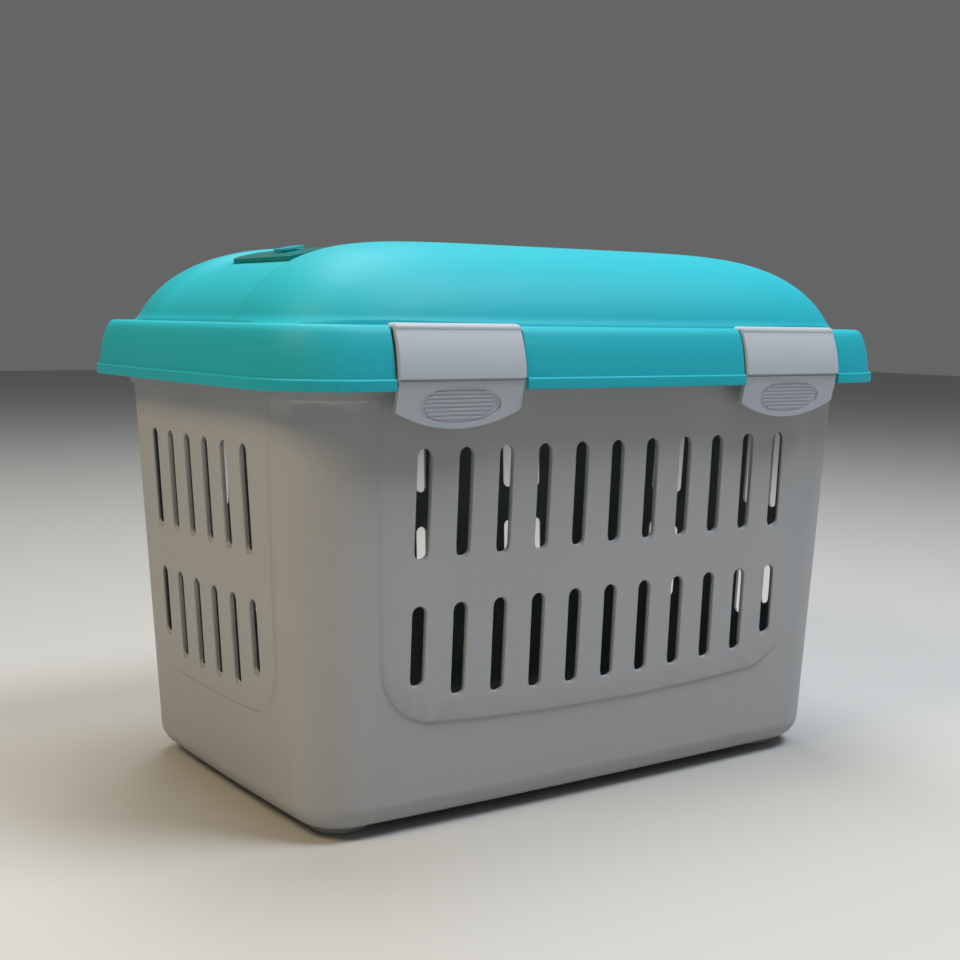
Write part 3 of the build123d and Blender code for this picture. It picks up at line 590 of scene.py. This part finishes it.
def dome_tree():
    """Geometry tree of the dome: a squared-off cap with a channel along its top."""
    build, size = moulding_tree("Lid Dome", {
        "Half Length": "Float", "Half Width": "Float", "Rise": "Float", "Foot Height": "Float",
        "Length Power": "Float", "Width Power": "Float", "Plan Power": "Float",
        "Roundness": "Float", "Flare": "Float", "Flare Height": "Float",
        "Channel Depth": "Float", "Channel Floor": "Float", "Channel Slope": "Float",
        "Foot Depth": "Float", "Cells": "Int", "Material": "Material"})
    grid = build.node("GeometryNodeMeshGrid", None,
                      {"Size X": 2.0, "Size Y": 2.0,
                       "Vertices X": size["Cells"], "Vertices Y": size["Cells"]})
    place = build.node("ShaderNodeSeparateXYZ", None,
                       {"Vector": build.node("GeometryNodeInputPosition").outputs[0]})
    across = [Value(build.tree, place.outputs[i]) for i in (0, 1)]
    # Rows gather near the foot, where the dome is steep,
    u, v = [g.sign() * (1 - (1 - abs(g)).at_least(0.0) ** 1.5) for g in across]
    # and beside the channel's steep sides
    side = (size["Channel Floor"] + size["Channel Slope"] / 2) / size["Half Width"]
    beyond = abs(v) - side
    squeeze = 1 - 0.65 * ((beyond * beyond) * -280.0).exponential()
    v = v.sign() * (side + beyond * squeeze)
    reach = abs(u).at_least(abs(v))
    power = size["Plan Power"]
    shrink = reach / (abs(u) ** power + abs(v) ** power + 1e-12) ** (1 / power)
    x_share = u * shrink
    y_share = v * shrink
    inset = build.value("ShaderNodeMapRange", {"interpolation_type": "SMOOTHSTEP"},
                        {"Value": abs(y_share) * size["Half Width"],
                         "From Min": size["Channel Floor"],
                         "From Max": size["Channel Floor"] + size["Channel Slope"],
                         "To Min": size["Channel Depth"], "To Max": 0.0})
    level = abs(x_share) ** size["Length Power"] + abs(y_share) ** size["Width Power"]
    rise = (size["Rise"] - inset) * (1 - level).at_least(0.0) ** (1 / size["Roundness"])
    spread = size["Flare"] * (1 - rise / size["Flare Height"]).at_least(0.0) ** 2.0
    at_foot = reach > 0.9999
    height = size["Foot Height"] + rise * (1 - at_foot) - size["Foot Depth"] * at_foot
    moved = build.node("ShaderNodeCombineXYZ", None, {
        "X": x_share * (size["Half Length"] - inset + spread),
        "Y": y_share * (size["Half Width"] + spread),
        "Z": height})
    cap = build.node("GeometryNodeSetPosition", None,
                     {"Geometry": grid.outputs[0], "Position": moved.outputs[0]})
    return finish_tree(build, cap.outputs[0], size["Material"])


class CARRIER_OT_lid_dome(bpy.types.Operator):
    """Makes the lid's dome, with the opening for its hatch"""

    bl_idname = "carrier.lid_dome"
    bl_label = "Lid Dome"

    def execute(self, context):
        sizes = context.scene.carrier_sizes
        cap = run_tree(dome_tree(), "lid_dome", {
            "Half Length": sizes.dome_half_length, "Half Width": sizes.dome_half_width,
            "Rise": sizes.dome_rise, "Foot Height": sizes.ledge_top,
            "Length Power": sizes.dome_length_power, "Width Power": sizes.dome_width_power,
            "Plan Power": sizes.dome_plan_power, "Roundness": sizes.dome_roundness,
            "Flare": sizes.dome_flare, "Flare Height": sizes.dome_flare_height,
            "Channel Depth": sizes.channel_depth, "Channel Floor": sizes.channel_floor,
            "Channel Slope": sizes.channel_slope, "Foot Depth": sizes.ledge_thickness / 2,
            "Cells": sizes.dome_cells, "Material": finish_of("lid_plastic")})
        shell = reshaped(cap, ("SOLIDIFY", {"thickness": sizes.wall, "offset": -1.0}))
        door_low, door_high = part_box("hatch_door")
        overlap = HATCH_OVERLAP
        hinge_room = HATCH_HINGE_OUT + HATCH_BARREL_RADIUS
        opening = rounded_rectangle((door_low.x + overlap, door_low.y + overlap),
                                    (door_high.x - hinge_room - overlap, door_high.y - overlap),
                                    HATCH_OPENING_CORNER)
        hole = prism("hatch_hole", outline=opening, axis="z",
                     low=sizes.ledge_top, high=LID_HIGH.z)
        axis = joint_place("hatch_hinge")
        pocket = block((door_high.x - hinge_room - overlap - MM, -HATCH_BARREL_START,
                        axis.z - HATCH_BARREL_ROOM),
                       (axis.x + HATCH_BARREL_ROOM, HATCH_BARREL_START, LID_HIGH.z))
        shell = cut_by(shell, [hole, pocket])
        add_piece("lid_dome", shell, "lid", "lid_plastic", stands_for=("lid_shell",))
        return {"FINISHED"}


# The lid's skirt


def bowed_outline(half_length, half_width, corner, bow, side_steps=84, end_steps=52,
                  corner_steps=18):
    """Points round a rounded rectangle whose sides swell by bow at their middles."""
    core_x, core_y = half_length - corner, half_width - corner
    for _ in range(6):
        core_x = half_length - corner - bow * (core_y / half_width) ** 2
        core_y = half_width - corner - bow * (core_x / half_length) ** 2

    def long_normal(x):
        return np.array((2 * bow * x / half_length ** 2, 1.0))

    def end_normal(y):
        return np.array((1.0, 2 * bow * y / half_width ** 2))

    quarter = []
    for x in np.linspace(0.0, core_x, side_steps // 2):
        normal = long_normal(x) / np.linalg.norm(long_normal(x))
        quarter.append(np.array((x, half_width - corner - bow * (x / half_length) ** 2))
                       + corner * normal)
    start = np.arctan2(*long_normal(core_x)[::-1])
    end = np.arctan2(*end_normal(core_y)[::-1])
    for turn in np.linspace(start, end, corner_steps)[1:-1]:
        quarter.append(np.array((core_x, core_y)) + corner * np.array((cos(turn), sin(turn))))
    for y in np.linspace(core_y, 0.0, end_steps // 2):
        normal = end_normal(y) / np.linalg.norm(end_normal(y))
        quarter.append(np.array((half_length - corner - bow * (y / half_width) ** 2, y))
                       + corner * normal)
    quarter = np.array(quarter)
    right_lower = quarter[::-1][1:] * (1, -1)
    left_lower = quarter[1:] * (-1, -1)
    left_upper = quarter[::-1][1:-1] * (-1, 1)
    return np.vstack((quarter, right_lower, left_lower, left_upper))


def on_dome_foot(outline, sizes, inset):
    """The outline's points drawn in to the dome's foot, shrunk by inset."""
    half_length = sizes.dome_half_length - inset
    half_width = sizes.dome_half_width - inset
    share = np.ones(len(outline))
    for _ in range(12):
        level = (np.abs(outline[:, 0] * share / half_length) ** sizes.dome_length_power
                 + np.abs(outline[:, 1] * share / half_width) ** sizes.dome_width_power)
        share = share * level ** (-1 / sizes.dome_plan_power)
    foot = outline * share[:, None]
    # The channel draws the dome's ends in
    beside = np.clip((np.abs(foot[:, 1]) - sizes.channel_floor) / sizes.channel_slope, 0, 1)
    drawn_in = sizes.channel_depth * (1 - beside ** 2 * (3 - 2 * beside))
    foot[:, 0] *= 1 - drawn_in / half_length
    return foot


def smooth_through(points, steps):
    """Points of a curve through the given ones."""
    points = [np.array(p, float) for p in points]
    ends = [2 * points[0] - points[1]] + points + [2 * points[-1] - points[-2]]
    curve = []
    for before, low, high, after in zip(ends, ends[1:], ends[2:], ends[3:]):
        for i in range(steps):
            t = i / steps
            curve.append(0.5 * (2 * low + (high - before) * t
                                + (2 * before - 5 * low + 4 * high - after) * t ** 2
                                + (3 * low - before - 3 * high + after) * t ** 3))
    curve.append(points[-1])
    return curve


def latch_cutters(sizes):
    """Blocks that clear the lid's skirt and ledge for the two latches."""
    cutters = []
    for side in SIDES:
        low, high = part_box("latch_" + side)
        gap = sizes.latch_gap
        front = LID_LOW.y - 3 * MM
        ledge_under = sizes.ledge_top - sizes.ledge_thickness
        plate_in = low.y + LATCH_PLATE_BACK + LATCH_PLATE_THICKNESS
        lip_end = low.y + LATCH_PLATE_BACK + LATCH_LIP_REACH
        steps = ((sizes.band_bottom - 3 * MM, ledge_under + 0.05 * MM, NOTCH_INNER_Y),
                 (ledge_under - MM, high.z + 0.5 * MM, plate_in + 0.6 * MM),
                 (high.z - 2.5 * MM, high.z + 0.5 * MM, lip_end + 0.3 * MM))
        for bottom, top, inner in steps:
            cutters.append(block((low.x - gap, front, bottom), (high.x + gap, inner, top)))
    return cutters


class CARRIER_OT_lid_skirt(bpy.types.Operator):
    """Makes the ledge, the skirt and the lower band round the lid"""

    bl_idname = "carrier.lid_skirt"
    bl_label = "Lid Skirt"

    def execute(self, context):
        sizes = context.scene.carrier_sizes
        half_length = LID_HIGH.x
        half_width = -LID_LOW.y
        height = sizes.ledge_top - sizes.band_top
        face = [(1.7, sizes.band_top), (2.6, sizes.band_top + 0.30 * height),
                (4.1, sizes.band_top + 0.60 * height), (6.2, sizes.ledge_top - 3.9 * MM),
                (8.0, sizes.ledge_top - 1.2 * MM), (9.3, sizes.ledge_top - 0.35 * MM),
                (11.0, sizes.ledge_top)]
        face = smooth_through([(inset * MM, z) for inset, z in face], 3)
        inner = []
        for inset, z in face[::-1]:
            drop = sizes.ledge_thickness * (z - sizes.band_top) / height
            inner.append((inset + sizes.wall, z - drop))
        lip = 0.5 * MM
        band = [(sizes.wall - lip, sizes.band_bottom), (lip, sizes.band_bottom),
                (0.15 * MM, sizes.band_bottom + 0.15 * MM), (0.0, sizes.band_bottom + lip),
                (0.0, sizes.band_top - 2 * lip), (0.2 * MM, sizes.band_top - lip),
                (0.7 * MM, sizes.band_top - 0.1 * MM), (1.2 * MM, sizes.band_top)]
        closing = [(sizes.wall, sizes.band_top - MM), (sizes.wall, sizes.band_bottom + lip)]

        def ring(inset, z):
            outline = bowed_outline(half_length - inset, half_width - inset,
                                    sizes.lid_corner - inset, sizes.side_bow)
            return [(x, y, z) for x, y in outline]

        def foot_ring(inset, z):
            start = FOOT_START_INSET
            outline = bowed_outline(half_length - start, half_width - start,
                                    sizes.lid_corner - start, sizes.side_bow)
            return [(x, y, z) for x, y in on_dome_foot(outline, sizes, inset)]

        foot_inset = sizes.wall - sizes.dome_flare
        rings = [ring(inset, z) for inset, z in band + face]
        rings.append(ring(LEDGE_INNER_INSET, sizes.ledge_top))
        rings.append(foot_ring(foot_inset, sizes.ledge_top))
        rings.append(foot_ring(foot_inset, sizes.ledge_top - sizes.ledge_thickness))
        rings += [ring(inset, z) for inset, z in inner + closing]
        count = len(rings[0])
        points = [point for one in rings for point in one]
        faces = []
        for i in range(len(rings)):
            for j in range(count):
                k = (j + 1) % count
                this, following = i * count, ((i + 1) % len(rings)) * count
                faces.append((this + j, this + k, following + k, following + j))
        shell = mesh_of("lid_skirt", points, faces)
        shell = cut_by(shell, latch_cutters(sizes))
        add_piece("lid_skirt", shell, "lid", "lid_plastic", crease=38.0,
                  stands_for=("lid_shell",))
        return {"FINISHED"}


# Barrels and posts on the lid


def barrel_outline(centre, radius, foot_low, foot_high, steps=20):
    """Outline of a round barrel on a foot: a half circle over two foot points."""
    outline = []
    for i in range(steps + 1):
        turn = pi * i / steps
        outline.append((centre[0] + radius * cos(turn), centre[1] + radius * sin(turn)))
    return outline + [foot_low, foot_high]


class CARRIER_OT_lid_fittings(bpy.types.Operator):
    """Makes the lid's rear hinge barrels, its hatch barrels and its handle posts"""

    bl_idname = "carrier.lid_fittings"
    bl_label = "Lid Fittings"

    def execute(self, context):
        sizes = context.scene.carrier_sizes
        rounding = ("BEVEL", {"width": sizes.edge_radius, "segments": 2,
                              "limit_method": "ANGLE", "angle_limit": radians(40)})
        hinge = joint_place("lid_hinge")
        hatch = joint_place("hatch_hinge")
        handle = joint_place("handle_pivot")
        barrels = []
        posts = []
        for side, sign in SIDES.items():
            low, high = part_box("hinge_pin_" + side)
            middle = (low.x + high.x) / 2
            radius = HINGE_BARREL_RADIUS
            half = HINGE_BARREL_HALF_LENGTH
            top = sizes.band_top - HINGE_WEB_UNDER_BAND
            outline = [(hinge.y + radius * cos(t), hinge.z + radius * sin(t))
                       for t in np.linspace(-pi, 0, 19)]
            outline += [(hinge.y + radius - HINGE_WEB_INSET, top),
                        (hinge.y - HINGE_WEB_INSET, top)]
            barrels.append(prism("barrel", outline, "x", middle - half, middle + half))

            radius = HATCH_BARREL_RADIUS
            floor = hatch.z - HATCH_BARREL_FOOT
            outline = barrel_outline((hatch.x, hatch.z), radius,
                                     (hatch.x - radius, floor), (hatch.x + radius, floor))
            near, far = sorted((sign * HATCH_BARREL_START, sign * HATCH_BARREL_END))
            posts.append(prism("hatch_barrel", outline, "y", near, far))

            low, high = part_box("handle_pin_" + side)
            inner = low.x if sign > 0 else high.x
            near, far = sorted((inner, inner + sign * HANDLE_POST_WIDTH))
            radius = HANDLE_POST_RADIUS
            floor = handle.z - HANDLE_POST_FOOT
            outline = barrel_outline((handle.y, handle.z), radius,
                                     (handle.y - radius, floor), (handle.y + radius, floor))
            posts.append(prism("handle_post", outline, "x", near, far))
        for name, meshes in (("lid_hinge_barrels", barrels), ("lid_posts", posts)):
            add_piece(name, reshaped(joined(name, meshes), rounding), "lid", "lid_plastic",
                      stands_for=("lid_shell",))
        return {"FINISHED"}


# The tub


class CARRIER_OT_tub(bpy.types.Operator):
    """Dresses the slotted tub"""

    bl_idname = "carrier.tub"
    bl_label = "Tub"

    def execute(self, context):
        add_piece("tub_body", carried_over("tub"), "tub", "tub_plastic", crease=28.0,
                  stands_for=("tub",))
        return {"FINISHED"}


# Latches and their thumb grips


def rib_tree():
    """Geometry tree of a thumb grip: round ribs whose lengths follow an oval."""
    build, size = moulding_tree("Thumb Ribs", {
        "Half Width": "Float", "Half Height": "Float", "Pitch": "Float", "Radius": "Float",
        "Squash": "Float", "Count": "Int", "Material": "Material"})
    bottom = build.node("ShaderNodeCombineXYZ", None,
                        {"Y": (size["Count"] - 1) * size["Pitch"] * -0.5})
    step = build.node("ShaderNodeCombineXYZ", None, {"Y": size["Pitch"]})
    row = build.node("GeometryNodeMeshLine", None,
                     {"Count": size["Count"], "Start Location": bottom.outputs[0],
                      "Offset": step.outputs[0]})
    bead = build.node("GeometryNodeMeshUVSphere", None,
                      {"Segments": 16, "Rings": 8, "Radius": size["Radius"]})
    upright = build.node("GeometryNodeTransform", None,
                         {"Geometry": bead.outputs[0], "Rotation": (0.0, pi / 2, 0.0)})
    ribs = build.node("GeometryNodeInstanceOnPoints", None,
                      {"Points": row.outputs[0], "Instance": upright.outputs[0]})
    real = build.node("GeometryNodeRealizeInstances", None, {"Geometry": ribs.outputs[0]})
    place = build.node("ShaderNodeSeparateXYZ", None,
                       {"Vector": build.node("GeometryNodeInputPosition").outputs[0]})
    x, y, z = [Value(build.tree, place.outputs[i]) for i in range(3)]
    start = (size["Count"] - 1) * size["Pitch"] * -0.5
    row_y = start + (y - start).snapped(size["Pitch"])
    half = size["Half Width"] * (1 - (row_y / size["Half Height"]) ** 2.0).at_least(0.01) ** 0.5
    side = (x > 1e-6) - (x * -1 > 1e-6)
    moved = build.node("ShaderNodeCombineXYZ", None,
                       {"X": x + side * (half - size["Radius"]).at_least(0.0),
                        "Y": y, "Z": z * size["Squash"]})
    stretched = build.node("GeometryNodeSetPosition", None,
                           {"Geometry": real.outputs[0], "Position": moved.outputs[0]})
    return finish_tree(build, stretched.outputs[0], size["Material"])


class CARRIER_OT_latches(bpy.types.Operator):
    """Makes the two front latches and the ribs of their thumb dishes"""

    bl_idname = "carrier.latches"
    bl_label = "Latches"

    def execute(self, context):
        sizes = context.scene.carrier_sizes
        ribs = rib_tree()
        lean = LATCH_TAB_LEAN
        for side in SIDES:
            body = "latch_" + side
            low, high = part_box(body)
            plate = carried_over(body, sizes.edge_radius, crease=38.0)
            add_piece(body + "_plate", plate, body, "latch_plastic", crease=32.0,
                      stands_for=(body,))
            grip = run_tree(ribs, body + "_ribs", {
                "Half Width": sizes.dish_half_width * 0.85, "Half Height": sizes.dish_half_height,
                "Pitch": sizes.rib_pitch, "Radius": sizes.rib_radius, "Squash": 0.8,
                "Count": 7, "Material": finish_of("latch_plastic")})
            dish_z = (sizes.band_top - LATCH_SHADOW_GAP + low.z) / 2
            face_y = low.y + LATCH_TAB_OUT + (dish_z - low.z) * tan(lean)
            normal = Vector((0.0, -cos(lean), -sin(lean)))
            upward = Vector((0.0, -sin(lean), cos(lean)))
            origin = Vector(((low.x + high.x) / 2, face_y, dish_z)) - normal * sizes.dish_depth
            place = Matrix.Identity(4)
            for column, vector in enumerate((Vector((1.0, 0.0, 0.0)), upward, normal, origin)):
                for row in range(3):
                    place[row][column] = vector[row]
            grip.transform(place)
            add_piece(body + "_ribs", grip, body, "latch_plastic", crease=60.0)
        return {"FINISHED"}


# Hatch, catch, handle and pins


class CARRIER_OT_hatch(bpy.types.Operator):
    """Dresses the tinted hatch and its sliding catch"""

    bl_idname = "carrier.hatch"
    bl_label = "Hatch"

    def execute(self, context):
        sizes = context.scene.carrier_sizes
        add_piece("hatch_glazing", carried_over("hatch_door", 0.5 * MM), "hatch", "hatch_tint",
                  crease=30.0, stands_for=("hatch_door",))
        add_piece("hatch_slide", carried_over("hatch_catch", sizes.edge_radius * 0.6), "catch",
                  "lid_plastic", crease=32.0, stands_for=("hatch_catch",))
        return {"FINISHED"}


class CARRIER_OT_handle(bpy.types.Operator):
    """Dresses the folding carry handle"""

    bl_idname = "carrier.handle"
    bl_label = "Carry Handle"

    def execute(self, context):
        add_piece("handle_bail", carried_over("carry_handle", 0.9 * MM), "handle",
                  "lid_plastic", crease=32.0, stands_for=("carry_handle",))
        return {"FINISHED"}


class CARRIER_OT_pins(bpy.types.Operator):
    """Gives every pin its drawn steel"""

    bl_idname = "carrier.pins"
    bl_label = "Pins"

    def execute(self, context):
        steel = finish_of("pin_steel")
        for name, pin in frame["nodes"].items():
            if "_pin" in name:
                for slot in pin.material_slots:
                    slot.material = steel
        return {"FINISHED"}


# Stage: floor, lights and the photograph's camera

IMAGE_WIDTH = 960
FOCAL_PIXELS = 1433.8
CAMERA_PLACE = (-518.5, -740.5, 273.4)
CAMERA_YAW = 0.6045
CAMERA_DOWN = 0.1123
CAMERA_ROLL = 0.0143
LIGHTS = (
    # name, place, size, power, colour
    ("front", (0.50, -0.75, 1.70), 0.70, 23.0, (0.86, 0.93, 1.0)),
    ("left", (-1.25, -0.25, 1.35), 0.60, 13.0, (1.0, 0.79, 0.48)),
    ("top", (0.1, 0.3, 2.2), 1.2, 22.0, (1.0, 1.0, 1.0)),
    ("rear", (0.5, 1.3, 2.3), 0.9, 10.0, (1.0, 1.0, 1.0)),
)


class CARRIER_OT_stage(bpy.types.Operator):
    """Makes the floor, the soft lights and the camera"""

    bl_idname = "carrier.stage"
    bl_label = "Stage"

    def execute(self, context):
        scene = context.scene
        reach = 6.0
        mesh = bpy.data.meshes.new("floor")
        mesh.from_pydata([(-reach, -reach, 0), (reach, -reach, 0), (reach, reach, 0),
                          (-reach, reach, 0)], [], [(0, 1, 2, 3)])
        mesh.materials.append(pale_floor("floor_paint", scene.carrier_colours.floor))
        floor = bpy.data.objects.new("floor", mesh)
        scene.collection.objects.link(floor)

        world = bpy.data.worlds.new("studio")
        world.use_nodes = True
        backdrop = world.node_tree.nodes["Background"]
        backdrop.inputs["Color"].default_value = (0.86, 0.87, 0.88, 1.0)
        backdrop.inputs["Strength"].default_value = 0.15
        scene.world = world
        scene.view_settings.view_transform = "Standard"

        target = Vector((0.0, 0.0, 0.15))
        for name, place, size, power, tint in LIGHTS:
            lamp = bpy.data.lights.new(name, "AREA")
            lamp.shape = "DISK"
            lamp.size = size
            lamp.energy = power
            lamp.color = tint
            light = bpy.data.objects.new(name, lamp)
            light.location = place
            light.rotation_euler = (target - Vector(place)).to_track_quat("-Z", "Y").to_euler()
            scene.collection.objects.link(light)

        forward = Vector((sin(CAMERA_YAW) * cos(CAMERA_DOWN), cos(CAMERA_YAW) * cos(CAMERA_DOWN),
                          -sin(CAMERA_DOWN)))
        level_right = forward.cross(Vector((0.0, 0.0, 1.0))).normalized()
        level_up = level_right.cross(forward)
        right = cos(CAMERA_ROLL) * level_right + sin(CAMERA_ROLL) * level_up
        up = cos(CAMERA_ROLL) * level_up - sin(CAMERA_ROLL) * level_right
        lens = bpy.data.cameras.new("camera")
        lens.sensor_width = 36.0
        lens.lens = FOCAL_PIXELS / IMAGE_WIDTH * lens.sensor_width
        camera = bpy.data.objects.new("camera", lens)
        turn = Matrix((right, up, -forward)).transposed().to_4x4()
        place = Vector([value * MM for value in CAMERA_PLACE])
        camera.matrix_world = Matrix.Translation(place) @ turn
        scene.collection.objects.link(camera)
        scene.camera = camera
        return {"FINISHED"}


class CARRIER_PT_panel(bpy.types.Panel):
    """Lists the carrier's pieces, sizes and colours"""

    bl_label = "Carrier"
    bl_idname = "CARRIER_PT_panel"
    bl_space_type = "VIEW_3D"
    bl_region_type = "UI"
    bl_category = "Carrier"

    def draw(self, context):
        layout = self.layout
        for operator in OPERATORS:
            layout.operator(operator.bl_idname)
        for group in (context.scene.carrier_sizes, context.scene.carrier_colours):
            box = layout.box()
            for name in group.bl_rna.properties.keys():
                if name not in {"rna_type", "name"}:
                    box.prop(group, name)


OPERATORS = (
    CARRIER_OT_tub,
    CARRIER_OT_lid_dome,
    CARRIER_OT_lid_skirt,
    CARRIER_OT_lid_fittings,
    CARRIER_OT_latches,
    CARRIER_OT_hatch,
    CARRIER_OT_handle,
    CARRIER_OT_pins,
    CARRIER_OT_stage,
)
CLASSES = (CarrierSizes, CarrierColours, *OPERATORS, CARRIER_PT_panel)


def register():
    for item in CLASSES:
        bpy.utils.register_class(item)
    bpy.types.Scene.carrier_sizes = PointerProperty(type=CarrierSizes)
    bpy.types.Scene.carrier_colours = PointerProperty(type=CarrierColours)


def unregister():
    del bpy.types.Scene.carrier_colours
    del bpy.types.Scene.carrier_sizes
    for item in reversed(CLASSES):
        bpy.utils.unregister_class(item)


def main():
    register()
    for operator in OPERATORS:
        group, name = operator.bl_idname.split(".")
        getattr(getattr(bpy.ops, group), name)()


if __name__ == "__main__":
    main()
